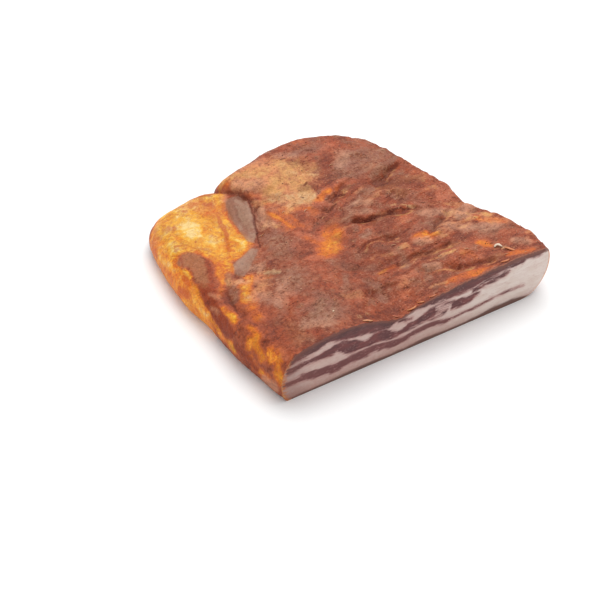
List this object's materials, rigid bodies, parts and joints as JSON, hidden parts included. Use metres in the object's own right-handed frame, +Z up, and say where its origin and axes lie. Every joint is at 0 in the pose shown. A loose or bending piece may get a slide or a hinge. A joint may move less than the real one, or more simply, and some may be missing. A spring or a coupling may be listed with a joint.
{
  "type": "pancetta slab",
  "caption": "Flat slab of dry cured pork belly with a dark red-brown spice rub, a rind underneath and one straight knife-cut face that shows layers of lean and fat.",
  "frame": {"origin": "middle of the footprint, on the surface that the rind lies on", "axes": "+Z up, +X along the knife-cut face from its left end to its right end as seen from the front, +Y from the cut into the meat"},
  "size_m": [0.2596, 0.2394, 0.0481],
  "materials": {
    "pancetta": "dry cured meat under a matt red-brown spice rub, with golden fat at one corner and a moist cut face of lean and fat"
  },
  "bodies": {
    "root": {"pancetta_slab": "pancetta"}
  },
  "joints": []
}
